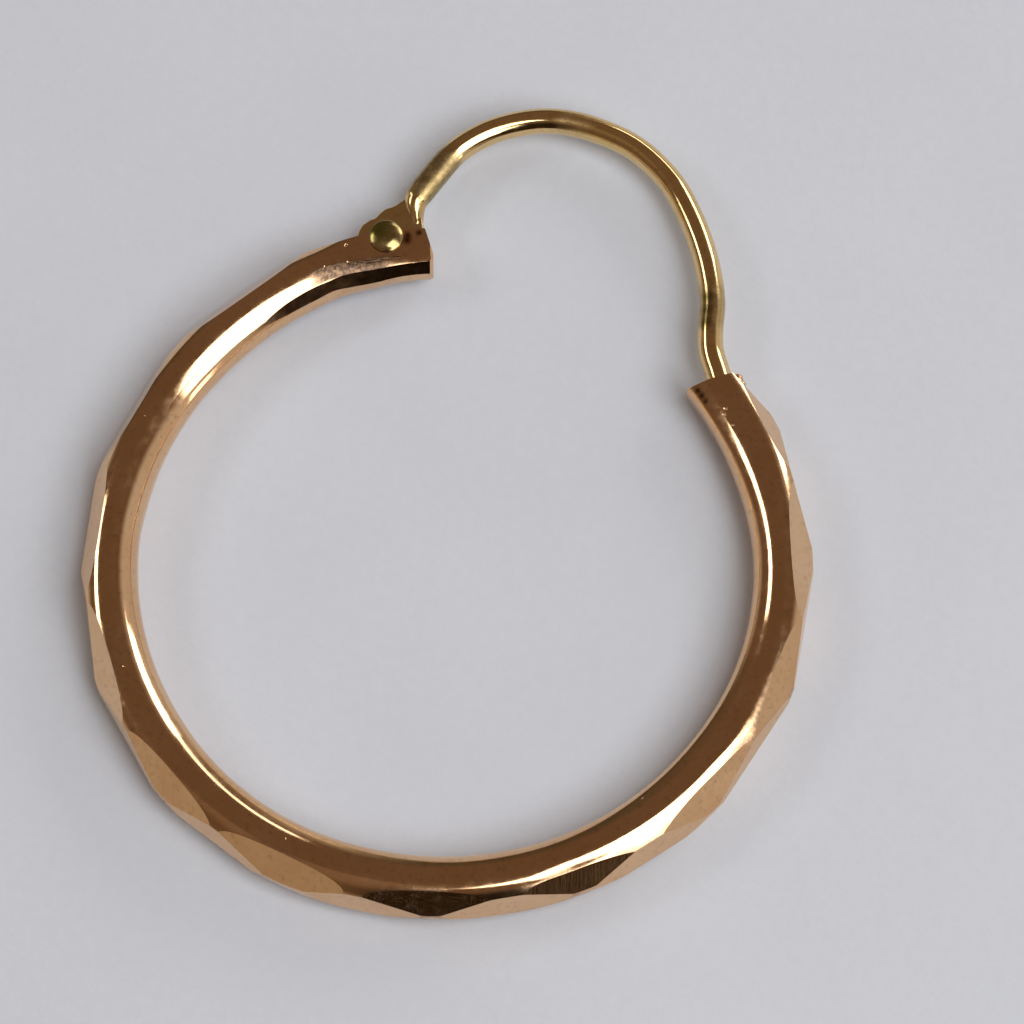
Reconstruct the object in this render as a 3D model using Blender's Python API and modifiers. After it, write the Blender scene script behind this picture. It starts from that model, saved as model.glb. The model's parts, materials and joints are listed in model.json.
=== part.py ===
"""A hinged hoop earring, closed and lying flat on its side.

A hollow round tube is bent into an open ring, with flat facets cut along its
outer side. One end is flattened and sawn open for the drilled tab of the ear
wire, which turns on a riveted pin. The other end is an oblique open mouth that
takes the tip of the wire.

The ring is drawn about its own centre, in millimetres, with the plane of the
ring at Z = 0. Angles are degrees from +X, anticlockwise. The tube starts at the
hinge, at -268 degrees, and runs round the bottom of the ring to the mouth.
"""
import math

import bmesh
import bpy
import numpy as np
from mathutils import Vector

MM = 0.001

# Tube.
RING_RADIUS = 10.205
RING_TRILOBE = -0.089
RING_TRILOBE_COS = 0.024
TUBE_RADIUS = 0.895
HINGE_NARROWING = 0.135
MOUTH_NARROWING = 0.15
MOUTH_BULGE = 0.17
TUBE_RINGS = 104
TUBE_SIDES = 16
TUBE_FROM = -271.0
TUBE_TO = 41.0

# How much wider than round the tube is on its inner side, along the ring.
INNER_FULLNESS = [
    # ring angle, extra width
    (-262.0, 0.00),
    (-256.0, 0.04),
    (-252.0, 0.12),
    (-249.0, 0.20),
    (-245.0, 0.24),
    (-230.0, 0.24),
    (-220.0, 0.20),
    (-210.0, 0.11),
    (-200.0, 0.00),
    (-185.0, -0.07),
    (-172.0, 0.00),
    (-160.0, 0.06),
    (-150.0, 0.10),
    (-120.0, 0.07),
    (-90.0, 0.08),
    (-60.0, 0.08),
    (-35.0, 0.12),
    (-15.0, 0.08),
    (0.0, 0.04),
    (10.0, 0.05),
    (20.0, 0.11),
    (30.0, 0.18),
    (41.0, 0.21),
]

# Flattening of the hinge end, from the angle where it starts to its full depth.
FLAT_FROM = -247.0
FLAT_FULL = -258.0
FLAT_HALF_HEIGHT = 0.58
FLAT_INNER_WIDTH = 0.95
FLAT_OUTER_WIDTH = 0.82
FLAT_EXPONENT = 3.2

# Bevels along the inner side of the flattened end: how far each face stands from
# the tube's middle line, and the angle where it runs out.
BEVEL_ELEVATION = 50.0
BEVEL_DISTANCE = 0.80
BEVEL_FULL = -257.0
BEVEL_OUT = -247.0
BEVEL_RISE = 0.23

# Hollow of the tube.
BORE_RADIUS = 0.56
MOUTH_BORE_RADIUS = 0.55
BORE_FROM = -246.0
BORE_TO = 44.0
BORE_POINTS = 76

# Cuts at the ends.
END_FACE = (-0.43, 9.60)
END_FACE_TURN = 0.0
END_CORNER = (-0.556, 10.30)
END_CORNER_TURN = 17.3
END_TOP = (-1.00, 10.74)
END_TOP_TURN = 90.0
MOUTH_CORNER = (8.295, 5.81)
MOUTH_TURN = 107.6

# Hinge.
PIVOT = (-1.883, 10.456)
PIN_RADIUS = 0.25
PIN_HOLE_RADIUS = 0.28
HEAD_RADIUS = 0.525
HEAD_RIM = 0.06
HEAD_HEIGHT = 0.20
HEAD_GAP = 0.03
TAB_THICKNESS = 0.36
SLOT_WIDTH = 0.44
EYE_RADIUS = 0.93
SLOT_RADIUS = 0.98
SLOT_LEFT = -1.13
SLOT_FLOOR = -0.30
SLOT_SHOULDER = -0.06

# Ear wire.
WIRE_RADIUS = 0.40
WIRE_NECK_RADIUS = 0.36
WIRE_NECK_LENGTH = 0.5
WIRE_END_RADIUS = 0.335
WIRE_END_LENGTH = 1.3
WIRE_TIP_RADIUS = 0.08
WIRE_TIP_LENGTH = 0.32
WIRE_POINTS = 84

# Flats cut above the outer side: direction of each flat's normal and how far
# the flat goes below the round surface.
UPPER_FLATS = [
    # azimuth, elevation, depth
    (27.0, 34.5, 0.046),
    (2.6, 44.5, 0.145),
    (-20.5, 46.0, 0.135),
    (-44.0, 45.0, 0.150),
    (-68.3, 44.0, 0.115),
    (-92.2, 42.0, 0.120),
    (-115.8, 44.0, 0.145),
    (-139.6, 42.0, 0.140),
    (-163.3, 39.0, 0.145),
    (-187.0, 29.0, 0.200),
]

# Flats cut round the outer side, each with a mirrored one below.
SIDE_FLATS = [
    # azimuth, elevation, depth above, depth below
    (39.2, 17.0, 0.141, 0.141),
    (13.5, 8.0, 0.150, 0.150),
    (-10.0, 8.0, 0.165, 0.165),
    (-33.0, 14.0, 0.180, 0.180),
    (-57.0, 18.0, 0.165, 0.050),
    (-80.5, 14.0, 0.165, 0.000),
    (-101.7, 12.0, 0.130, 0.000),
    (-127.5, 14.0, 0.150, 0.100),
    (-150.6, 9.0, 0.150, 0.150),
    (-171.5, 8.0, 0.150, 0.150),
    (-209.0, 22.0, 0.145, 0.100),
    (-232.8, 26.5, 0.205, 0.100),
    (-252.0, 20.0, 0.050, 0.050),
]

# Middle line of the ear wire, from the tab over the arch and down to the mouth.
WIRE_ROUTE = [
    # x, y
    (-1.04, 11.82),
    (-0.84, 12.13),
    (-0.43, 12.69),
    (0.26, 13.52),
    (1.15, 14.11),
    (2.10, 14.44),
    (3.06, 14.56),
    (4.01, 14.44),
    (4.91, 14.14),
    (5.75, 13.70),
    (6.46, 13.08),
    (7.04, 12.35),
    (7.47, 11.49),
    (7.81, 10.58),
    (8.06, 9.59),
    (8.18, 8.53),
    (8.11, 7.61),
    (8.12, 6.90),
    (8.29, 6.25),
    (8.40, 5.87),
    (8.52, 5.60),
]

# Outline of the tab above its eye, about the pivot.
TAB_OUTLINE = [
    # x, y
    (1.00, -0.20),
    (1.14, 0.15),
    (1.15, 0.42),
    (1.11, 0.75),
    (1.09, 1.15),
    (1.15, 1.36),
    (0.90, 1.62),
    (0.60, 1.46),
    (0.24, 1.20),
    (-0.04, 1.09),
    (-0.20, 0.96),
    (-0.36, 0.79),
    (-0.52, 0.72),
]


def clear_scene():
    for obj in list(bpy.data.objects):
        bpy.data.objects.remove(obj, do_unlink=True)


def collection(name):
    made = bpy.data.collections.new(name)
    bpy.context.scene.collection.children.link(made)
    return made


def metal(name, colour, roughness):
    material = bpy.data.materials.new(name)
    material.use_nodes = True
    shader = material.node_tree.nodes["Principled BSDF"]
    shader.inputs["Base Color"].default_value = (*colour, 1.0)
    shader.inputs["Metallic"].default_value = 1.0
    shader.inputs["Roughness"].default_value = roughness
    return material


def ease(value):
    value = min(max(value, 0.0), 1.0)
    return value * value * (3.0 - 2.0 * value)


def ring_radius(angle):
    """Radius of the tube's middle line, which is slightly out of round."""
    turn = math.radians(3.0 * angle)
    return RING_RADIUS + RING_TRILOBE * math.sin(turn) + RING_TRILOBE_COS * math.cos(turn)


def tube_radius(angle):
    """The tube draws in a little towards the hinge and towards the mouth."""
    at_hinge = HINGE_NARROWING * ease((-190.0 - angle) / 30.0)
    at_mouth = MOUTH_NARROWING * ease((angle - 12.0) / 26.0)
    return TUBE_RADIUS - at_hinge - at_mouth


def inner_fullness(angle):
    angles, widths = zip(*INNER_FULLNESS)
    return float(np.interp(angle, angles, widths))


def ring_point(angle, outward=0.0, up=0.0):
    reach = ring_radius(angle) + outward
    turn = math.radians(angle)
    return Vector((reach * math.cos(turn), reach * math.sin(turn), up)) * MM


def tube_section(angle):
    """Nearly round, but a squashed rounded box at the hinge, and fuller outwards at the mouth."""
    flat = ease((FLAT_FROM - angle) / (FLAT_FROM - FLAT_FULL))
    radius = tube_radius(angle)
    inner = radius + (FLAT_INNER_WIDTH - radius) * flat + inner_fullness(angle)
    outer = radius + (FLAT_OUTER_WIDTH - radius) * flat
    height = radius + (FLAT_HALF_HEIGHT - radius) * flat
    power = 2.0 / (2.0 + (FLAT_EXPONENT - 2.0) * flat)
    bulge = MOUTH_BULGE * ease((angle - 8.0) / 16.0)
    points = []
    for side in range(TUBE_SIDES):
        turn = 2.0 * math.pi * side / TUBE_SIDES
        across = math.copysign(abs(math.cos(turn)) ** power, math.cos(turn))
        upward = math.copysign(abs(math.sin(turn)) ** power, math.sin(turn))
        reach = (outer + bulge) * max(across, 0.0) + inner * min(across, 0.0)
        points.append(ring_point(angle, reach, height * upward))
    return points


def add_object(name, mesh, home, material=None, smooth=True):
    if material:
        mesh.materials.append(material)
    if smooth:
        mesh.shade_smooth()
    obj = bpy.data.objects.new(name, mesh)
    home.objects.link(obj)
    return obj


def mesh_from(bm, name):
    bmesh.ops.recalc_face_normals(bm, faces=bm.faces[:])
    mesh = bpy.data.meshes.new(name)
    bm.to_mesh(mesh)
    bm.free()
    return mesh


def make_tube(home, material):
    bm = bmesh.new()
    rings = []
    for angle in np.linspace(TUBE_FROM, TUBE_TO, TUBE_RINGS):
        rings.append([bm.verts.new(point) for point in tube_section(float(angle))])
    for first, second in zip(rings, rings[1:]):
        for side in range(TUBE_SIDES):
            after = (side + 1) % TUBE_SIDES
            bm.faces.new((first[side], first[after], second[after], second[side]))
    bm.faces.new(rings[0])
    bm.faces.new(rings[-1])
    bmesh.ops.triangulate(bm, faces=bm.faces[:])
    return add_object("hoop_tube", mesh_from(bm, "hoop_tube"), home, material)


def flat_plane(azimuth, elevation, depth):
    turn = math.radians(azimuth)
    rise = math.radians(elevation)
    normal = Vector((math.cos(turn) * math.cos(rise), math.sin(turn) * math.cos(rise), math.sin(rise)))
    offset = ring_radius(azimuth) * math.cos(rise) + tube_radius(azimuth) - depth
    return normal, normal * offset * MM


def make_flats_block(home):
    """A block bounded by all the flats: what the faceting leaves of the tube lies inside it."""
    planes = [flat_plane(azimuth, elevation, depth) for azimuth, elevation, depth in UPPER_FLATS]
    planes += [flat_plane(azimuth, -elevation, depth) for azimuth, elevation, depth in UPPER_FLATS]
    for azimuth, elevation, above, below in SIDE_FLATS:
        planes.append(flat_plane(azimuth, elevation, above))
        if below:
            planes.append(flat_plane(azimuth, -elevation, below))
    bm = bmesh.new()
    bmesh.ops.create_cube(bm, size=40.0 * MM)
    for normal, point in planes:
        everything = bm.verts[:] + bm.edges[:] + bm.faces[:]
        cut = bmesh.ops.bisect_plane(
            bm, geom=everything, dist=0.0001 * MM, plane_co=point, plane_no=normal, clear_outer=True
        )
        rim = [part for part in cut["geom_cut"] if isinstance(part, bmesh.types.BMEdge)]
        if rim:
            bmesh.ops.contextual_create(bm, geom=rim)
            bmesh.ops.remove_doubles(bm, verts=bm.verts[:], dist=0.0005 * MM)
    return add_object("flats_block", mesh_from(bm, "flats_block"), home, smooth=False)


def wire_object(name, points, radii, home, sides=12):
    """A round rod of changing radius along points, as a mesh with welded caps."""
    curve = bpy.data.curves.new(name, "CURVE")
    curve.dimensions = "3D"
    curve.bevel_depth = MM
    curve.bevel_resolution = (sides - 4) // 2
    curve.use_fill_caps = True
    spline = curve.splines.new("POLY")
    spline.points.add(len(points) - 1)
    for knot, point, radius in zip(spline.points, points, radii):
        knot.co = (*point, 1.0)
        knot.radius = radius
    drawn = bpy.data.objects.new(name + "_curve", curve)
    home.objects.link(drawn)
    return curve_to_mesh(drawn, name, home)


def curve_to_mesh(drawn, name, home):
    bpy.context.view_layer.update()
    graph = bpy.context.evaluated_depsgraph_get()
    mesh = bpy.data.meshes.new_from_object(drawn.evaluated_get(graph))
    bm = bmesh.new()
    bm.from_mesh(mesh)
    bmesh.ops.remove_doubles(bm, verts=bm.verts[:], dist=0.002 * MM)
    bmesh.ops.triangulate(bm, faces=[face for face in bm.faces if len(face.verts) == 4])
    bmesh.ops.recalc_face_normals(bm, faces=bm.faces[:])
    bm.to_mesh(mesh)
    bm.free()
    mesh.name = name
    mesh.materials.clear()
    obj = add_object(name, mesh, home)
    obj.matrix_world = drawn.matrix_world
    bpy.data.objects.remove(drawn, do_unlink=True)
    return obj


def make_bore(home):
    angles = np.linspace(BORE_FROM, BORE_TO, BORE_POINTS)
    points = [ring_point(float(angle)) for angle in angles]
    radii = []
    for angle in angles:
        narrowing = ease((float(angle) - 12.0) / 22.0)
        rounding = math.sqrt(min(1.0, 0.1 + (float(angle) - BORE_FROM) / 4.0))
        radii.append((BORE_RADIUS + (MOUTH_BORE_RADIUS - BORE_RADIUS) * narrowing) * rounding)
    return wire_object("bore", points, radii, home)


def make_cut_box(name, point, turn, home):
    """A large box whose flat side stands on point, and which lies beyond it along turn."""
    bpy.ops.mesh.primitive_cube_add(size=4.0 * MM)
    box = bpy.context.active_object
    box.name = name
    direction = math.radians(turn)
    middle = Vector((point[0] + 2.0 * math.cos(direction), point[1] + 2.0 * math.sin(direction), 0.0))
    box.location = middle * MM
    box.rotation_euler = (0.0, 0.0, direction)
    move_to(box, home)
    return box


def make_bevel(name, side, home):
    """A curved wedge that takes off the inner edge of the flattened end, above or below."""
    rise = math.radians(BEVEL_ELEVATION)
    bm = bmesh.new()
    rows = []
    for angle in np.linspace(TUBE_FROM - 3.0, BEVEL_OUT + 3.0, 17):
        angle = float(angle)
        lift = BEVEL_RISE * ease((angle - BEVEL_FULL) / (BEVEL_OUT - BEVEL_FULL))
        near = BEVEL_DISTANCE + lift
        row = []
        for out, along in ((near, -0.9), (near, 0.9), (near + 1.2, 0.9), (near + 1.2, -0.9)):
            outward = along * math.sin(rise) - out * math.cos(rise)
            upward = along * math.cos(rise) + out * math.sin(rise)
            row.append(bm.verts.new(ring_point(angle, outward, side * upward)))
        rows.append(row)
    for first, second in zip(rows, rows[1:]):
        for corner in range(4):
            after = (corner + 1) % 4
            bm.faces.new((first[corner], first[after], second[after], second[corner]))
    bm.faces.new(rows[0])
    bm.faces.new(rows[-1])
    bmesh.ops.triangulate(bm, faces=bm.faces[:])
    return add_object(name, mesh_from(bm, name), home, smooth=False)


def move_to(obj, home):
    for old in list(obj.users_collection):
        old.objects.unlink(obj)
    home.objects.link(obj)


def flat_curve(name, outline, thickness, home):
    """A flat closed outline in millimetres, given thickness about Z = 0."""
    curve = bpy.data.curves.new(name, "CURVE")
    curve.dimensions = "2D"
    curve.fill_mode = "BOTH"
    curve.extrude = 0.5 * thickness * MM
    spline = curve.splines.new("POLY")
    spline.points.add(len(outline) - 1)
    spline.use_cyclic_u = True
    for knot, (x, y) in zip(spline.points, outline):
        knot.co = (x * MM, y * MM, 0.0, 1.0)
    drawn = bpy.data.objects.new(name + "_curve", curve)
    home.objects.link(drawn)
    obj = curve_to_mesh(drawn, name, home)
    for face in obj.data.polygons:
        face.use_smooth = False
    return obj


def arc(radius, start, stop, steps):
    turns = np.radians(np.linspace(start, stop, steps))
    return [(radius * math.cos(turn), radius * math.sin(turn)) for turn in turns]


def smooth_route(points, count):
    """Evenly spread points on a Catmull-Rom curve through the given ones."""
    ends = [2.0 * points[0] - points[1]] + list(points) + [2.0 * points[-1] - points[-2]]
    fine = []
    for before, start, stop, after in zip(ends, ends[1:], ends[2:], ends[3:]):
        for step in np.linspace(0.0, 1.0, 24, endpoint=False):
            along = 0.5 * (
                2.0 * start
                + (stop - before) * step
                + (2.0 * before - 5.0 * start + 4.0 * stop - after) * step ** 2
                + (3.0 * start - before - 3.0 * stop + after) * step ** 3
            )
            fine.append(along)
    fine.append(points[-1])
    fine = np.array(fine)
    walked = np.concatenate([[0.0], np.cumsum(np.linalg.norm(np.diff(fine, axis=0), axis=1))])
    spots = np.linspace(0.0, walked[-1], count)
    route = np.stack([np.interp(spots, walked, fine[:, axis]) for axis in range(2)], axis=1)
    return route, spots


def make_ear_wire(home, cutters, material):
    """The wire and its tab, drawn about the pivot so that the piece turns on its origin."""
    pivot = np.array(PIVOT)
    route, walked = smooth_route([np.array(point) - pivot for point in WIRE_ROUTE], WIRE_POINTS)
    left = walked[-1] - walked
    radii = []
    for done, rest in zip(walked, left):
        neck = WIRE_RADIUS - (WIRE_RADIUS - WIRE_NECK_RADIUS) * (1.0 - ease(done / WIRE_NECK_LENGTH))
        slim = WIRE_RADIUS - (WIRE_RADIUS - WIRE_END_RADIUS) * ease(1.0 - rest / WIRE_END_LENGTH)
        tip = min(rest / WIRE_TIP_LENGTH, 1.0)
        rounded = WIRE_TIP_RADIUS + (WIRE_END_RADIUS - WIRE_TIP_RADIUS) * math.sqrt(1.0 - (1.0 - tip) ** 2)
        radii.append(min(neck, slim) if tip == 1.0 else rounded)
    points = [Vector((x, y, 0.0)) * MM for x, y in route]
    wire = wire_object("ear_wire", points, radii, home)
    wire.data.materials.append(material)
    eye = arc(EYE_RADIUS, 142.0, 338.0, 26)
    tab = flat_curve("ear_wire_tab", eye + TAB_OUTLINE, TAB_THICKNESS, cutters)
    hole = make_pin_cylinder("ear_wire_hole", PIN_HOLE_RADIUS, cutters)
    for part in (wire, tab, hole):
        part.location = Vector((*PIVOT, 0.0)) * MM
    add_boolean(wire, tab, "UNION")
    add_boolean(wire, hole, "DIFFERENCE")
    return wire


def make_pin_cylinder(name, radius, home):
    bm = bmesh.new()
    bmesh.ops.create_cone(
        bm, cap_ends=True, segments=20, radius1=radius * MM, radius2=radius * MM, depth=4.0 * MM
    )
    obj = add_object(name, mesh_from(bm, name), home)
    obj.location = Vector((*PIVOT, 0.0)) * MM
    return obj


def make_slot(cutters):
    """The saw cut for the tab: round about the pivot, open to the outer side and to the end."""
    outline = arc(SLOT_RADIUS, 200.0, 340.0, 18)
    outline += [(3.0, SLOT_FLOOR), (3.0, 3.0), (SLOT_LEFT, 3.0), (SLOT_LEFT, SLOT_SHOULDER)]
    slot = flat_curve("slot", outline, SLOT_WIDTH, cutters)
    slot.location = Vector((*PIVOT, 0.0)) * MM
    return slot


def add_boolean(target, other, operation):
    modifier = target.modifiers.new(other.name, "BOOLEAN")
    modifier.operation = operation
    modifier.solver = "EXACT"
    modifier.object = other


def make_rivet(home, material):
    """The pin and its two domed heads, turned from one profile."""
    seat = FLAT_HALF_HEIGHT + HEAD_GAP
    profile = [(0.0, seat + HEAD_HEIGHT)]
    for step in range(1, 6):
        turn = 0.5 * math.pi * step / 5.0
        drop = (HEAD_HEIGHT - HEAD_RIM) * (1.0 - math.cos(turn))
        profile.append((HEAD_RADIUS * math.sin(turn), seat + HEAD_HEIGHT - drop))
    profile.append((HEAD_RADIUS - 0.02, seat))
    profile.append((PIN_RADIUS, seat))
    profile += [(reach, -height) for reach, height in reversed(profile)]
    bm = bmesh.new()
    corners = [bm.verts.new(Vector((reach, 0.0, height)) * MM) for reach, height in profile]
    for first, second in zip(corners, corners[1:]):
        bm.edges.new((first, second))
    mesh = bpy.data.meshes.new("hinge_rivet")
    bm.to_mesh(mesh)
    bm.free()
    rivet = add_object("hinge_rivet", mesh, home, material)
    rivet.location = Vector((*PIVOT, 0.0)) * MM
    turned = rivet.modifiers.new("turned", "SCREW")
    turned.steps = 24
    turned.render_steps = 24
    turned.use_merge_vertices = True
    turned.merge_threshold = 0.000001
    turned.use_smooth_shade = True
    return rivet


def lay_down(parts, cutters):
    """Carries everything on one empty, set so that the whole lies centred on the ground."""
    bpy.context.view_layer.update()
    graph = bpy.context.evaluated_depsgraph_get()
    corners = []
    for part in parts:
        evaluated = part.evaluated_get(graph)
        corners += [evaluated.matrix_world @ vertex.co for vertex in evaluated.data.vertices]
    lowest = Vector(min(corner[axis] for corner in corners) for axis in range(3))
    highest = Vector(max(corner[axis] for corner in corners) for axis in range(3))
    carrier = bpy.data.objects.new("earring_carrier", None)
    parts[0].users_collection[0].objects.link(carrier)
    middle = 0.5 * (lowest + highest)
    carrier.location = (-middle.x, -middle.y, -lowest.z)
    for part in parts + list(cutters.objects):
        part.parent = carrier
    return carrier


def main():
    clear_scene()
    home = collection("hinged_hoop_earring")
    cutters = collection("cutters")
    hoop_gold = metal("hoop_rose_gold", (0.80, 0.50, 0.29), 0.20)
    wire_gold = metal("wire_yellow_gold", (0.83, 0.60, 0.30), 0.22)
    rivet_gold = metal("rivet_gold", (0.78, 0.60, 0.32), 0.24)

    hoop = make_tube(home, hoop_gold)
    add_boolean(hoop, make_flats_block(cutters), "INTERSECT")
    add_boolean(hoop, make_bevel("upper_bevel", 1.0, cutters), "DIFFERENCE")
    add_boolean(hoop, make_bevel("lower_bevel", -1.0, cutters), "DIFFERENCE")
    add_boolean(hoop, make_bore(cutters), "DIFFERENCE")
    add_boolean(hoop, make_slot(cutters), "DIFFERENCE")
    add_boolean(hoop, make_pin_cylinder("hoop_pin_hole", PIN_HOLE_RADIUS, cutters), "DIFFERENCE")
    add_boolean(hoop, make_cut_box("end_face", END_FACE, END_FACE_TURN, cutters), "DIFFERENCE")
    add_boolean(hoop, make_cut_box("end_corner", END_CORNER, END_CORNER_TURN, cutters), "DIFFERENCE")
    add_boolean(hoop, make_cut_box("end_top", END_TOP, END_TOP_TURN, cutters), "DIFFERENCE")
    add_boolean(hoop, make_cut_box("mouth_face", MOUTH_CORNER, MOUTH_TURN, cutters), "DIFFERENCE")

    rivet = make_rivet(home, rivet_gold)
    wire = make_ear_wire(home, cutters, wire_gold)
    for cutter in cutters.objects:
        cutter.hide_render = True
        cutter.display_type = "WIRE"
    lay_down([hoop, rivet, wire], cutters)


main()
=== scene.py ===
"""Looks of the hinged hoop earring: polished worn gold on pale paper, lit as in a small studio.

Lengths in the tables are millimetres about the centre of the ring, as in the part's source,
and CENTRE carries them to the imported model. Angles are degrees from +X, anticlockwise.
"""
import json
import math

import bmesh
import bpy
import numpy as np
from mathutils import Matrix, Vector


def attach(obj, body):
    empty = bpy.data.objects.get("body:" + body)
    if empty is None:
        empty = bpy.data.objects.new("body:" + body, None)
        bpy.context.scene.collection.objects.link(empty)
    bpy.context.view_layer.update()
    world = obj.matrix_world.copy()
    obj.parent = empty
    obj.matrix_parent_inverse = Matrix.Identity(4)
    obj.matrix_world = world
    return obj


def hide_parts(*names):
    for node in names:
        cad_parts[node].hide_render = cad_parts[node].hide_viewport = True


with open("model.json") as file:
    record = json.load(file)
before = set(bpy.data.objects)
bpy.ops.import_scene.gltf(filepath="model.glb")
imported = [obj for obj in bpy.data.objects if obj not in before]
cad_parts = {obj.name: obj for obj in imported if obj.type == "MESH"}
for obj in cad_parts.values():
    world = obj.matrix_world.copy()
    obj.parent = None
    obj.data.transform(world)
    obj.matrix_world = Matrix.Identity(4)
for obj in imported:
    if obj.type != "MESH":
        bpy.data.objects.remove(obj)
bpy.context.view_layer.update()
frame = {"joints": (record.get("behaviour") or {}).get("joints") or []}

MM = 0.001

# Ring and tube, as in the part's source.
RING_RADIUS = 10.205
RING_TRILOBE = -0.089
RING_TRILOBE_COS = 0.024
TUBE_RADIUS = 0.895
HINGE_NARROWING = 0.135
MOUTH_NARROWING = 0.15
MOUTH_BULGE = 0.17
TUBE_FROM = -271.0
TUBE_TO = 41.0
FLAT_FROM = -247.0
FLAT_FULL = -258.0
FLAT_HALF_HEIGHT = 0.58
FLAT_INNER_WIDTH = 0.95
FLAT_OUTER_WIDTH = 0.82
FLAT_EXPONENT = 3.2
BEVEL_ELEVATION = 47.5
END_FACE = (-0.43, 9.60)
END_FACE_TURN = 0.0
END_CORNER = (-0.556, 10.30)
END_CORNER_TURN = 17.3
END_TOP = (-1.00, 10.74)
END_TOP_TURN = 90.0
MOUTH_CORNER = (8.295, 5.81)
MOUTH_TURN = 107.6
END_REACH = 3.0
END_CHAMFER = 0.10

BORE_FROM = 12.0
BORE_TO = 44.0
MOUTH_BORE_RADIUS = 0.55
SLOT_WIDTH = 0.44
SLOT_RADIUS = 0.98
SLOT_LEFT = -1.13
SLOT_FLOOR = -0.30
SLOT_SHOULDER = -0.06

# Hinge.
PIVOT = (-1.883, 10.456)
PIN_RADIUS = 0.25
PIN_HOLE_RADIUS = 0.28
HEAD_RADIUS = 0.525
HEAD_POWER = 3.0
HEAD_HEIGHT = 0.09
HEAD_EDGE = 0.05
HEAD_GAP = 0.03
TAB_THICKNESS = 0.36
TAB_ROUNDING = 0.07
EYE_RADIUS = 0.93

# Ear wire.
WIRE_RADIUS = 0.40
WIRE_NECK_RADIUS = 0.37
WIRE_NECK_LENGTH = 0.6
WIRE_START_ROUNDING = 0.12
WIRE_HAMMERED = 2.5
WIRE_HAMMERED_FROM = 1.2
WIRE_HAMMERED_TO = 2.4
WIRE_TIP_RADIUS = 0.08
WIRE_TIP_LENGTH = 0.32
WIRE_POINTS = 380
WIRE_SIDES = 40

# Middle line of the ear wire, from the tab over the arch and down to the mouth.
WIRE_ROUTE = [
    # x, y
    (-1.04, 11.82),
    (-0.84, 12.13),
    (-0.43, 12.69),
    (0.26, 13.52),
    (1.15, 14.11),
    (2.10, 14.44),
    (3.06, 14.56),
    (4.01, 14.44),
    (4.91, 14.14),
    (5.75, 13.70),
    (6.46, 13.08),
    (7.04, 12.35),
    (7.47, 11.49),
    (7.81, 10.58),
    (8.06, 9.59),
    (8.18, 8.53),
    (8.11, 7.61),
    (8.12, 6.90),
    (8.29, 6.25),
    (8.40, 5.87),
    (8.52, 5.60),
]

# Outline of the tab above its eye, about the pivot.
TAB_OUTLINE = [
    # x, y
    (0.862, -0.348),
    (1.00, -0.20),
    (1.14, 0.15),
    (1.15, 0.42),
    (1.11, 0.75),
    (1.09, 1.15),
    (1.15, 1.36),
    (0.90, 1.62),
    (0.60, 1.46),
    (0.24, 1.20),
    (-0.04, 1.09),
    (-0.20, 0.96),
    (-0.36, 0.79),
    (-0.52, 0.72),
    (-0.733, 0.573),
]

# Ridge that the wire leaves down the tab's outer edge.
TAB_RIDGE = [
    # x, y, radius
    (-0.84, 12.13, 0.370),
    (-0.94, 11.97, 0.372),
    (-1.00, 11.80, 0.360),
    (-1.01, 11.62, 0.320),
    (-0.99, 11.42, 0.262),
    (-0.965, 11.22, 0.220),
    (-0.95, 11.02, 0.180),
    (-0.94, 10.88, 0.060),
]

# Fullness of the inner shoulders along the ring.
SHOULDER_TURN = 153.0
SHOULDER_SPREAD = 27.0
SHOULDERS = [
    # ring angle, fullness
    (-245.0, 0.0),
    (-165.0, 0.022),
    (-130.0, 0.045),
    (-105.0, 0.035),
    (-85.0, 0.003),
    (-70.0, 0.006),
    (-50.0, 0.055),
    (-40.0, 0.062),
    (-20.0, 0.036),
    (5.0, 0.018),
    (20.0, 0.025),
    (30.0, 0.045),
    (40.0, 0.030),
]

# How much wider than round the tube is on its inner side, along the ring.
INNER_FULLNESS = [
    # ring angle, extra width
    (-262.0, 0.00),
    (-256.0, 0.04),
    (-252.0, 0.12),
    (-249.0, 0.20),
    (-245.0, 0.24),
    (-230.0, 0.24),
    (-220.0, 0.20),
    (-210.0, 0.11),
    (-200.0, 0.00),
    (-185.0, -0.07),
    (-172.0, 0.00),
    (-160.0, 0.06),
    (-150.0, 0.10),
    (-120.0, 0.07),
    (-90.0, 0.08),
    (-60.0, 0.08),
    (-35.0, 0.12),
    (-15.0, 0.08),
    (0.0, 0.04),
    (10.0, 0.05),
    (20.0, 0.11),
    (30.0, 0.18),
    (41.0, 0.21),
]

# Distance of the hinge bevel from the tube's middle line, until it leaves the surface.
BEVEL_DISTANCES = [
    # ring angle, distance
    (-270.0, 0.806),
    (-262.0, 0.817),
    (-257.0, 0.828),
    (-252.0, 0.836),
    (-247.0, 0.844),
    (-241.0, 0.856),
    (-236.0, 0.869),
    (-230.0, 0.894),
    (-224.0, 0.924),
]
BEVEL_TO = -227.0

# Fineness of the shown tube.
TUBE_RINGS = 520
TUBE_SIDES = 64
CROWN_TURN = 66.0
CROWN_SPREAD = 32.0
CROWN_LOSS = 0.045
CROWN_FROM = -76.0
CROWN_TO = -33.0

UPPER_FLATS = [
    # azimuth, elevation, depth
    (27.0, 34.5, 0.046),
    (2.6, 44.5, 0.145),
    (-20.5, 46.0, 0.135),
    (-44.0, 45.0, 0.150),
    (-68.3, 44.0, 0.115),
    (-92.2, 42.0, 0.120),
    (-115.8, 44.0, 0.145),
    (-139.6, 42.0, 0.140),
    (-163.3, 39.0, 0.145),
    (-187.0, 29.0, 0.200),
]

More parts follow.
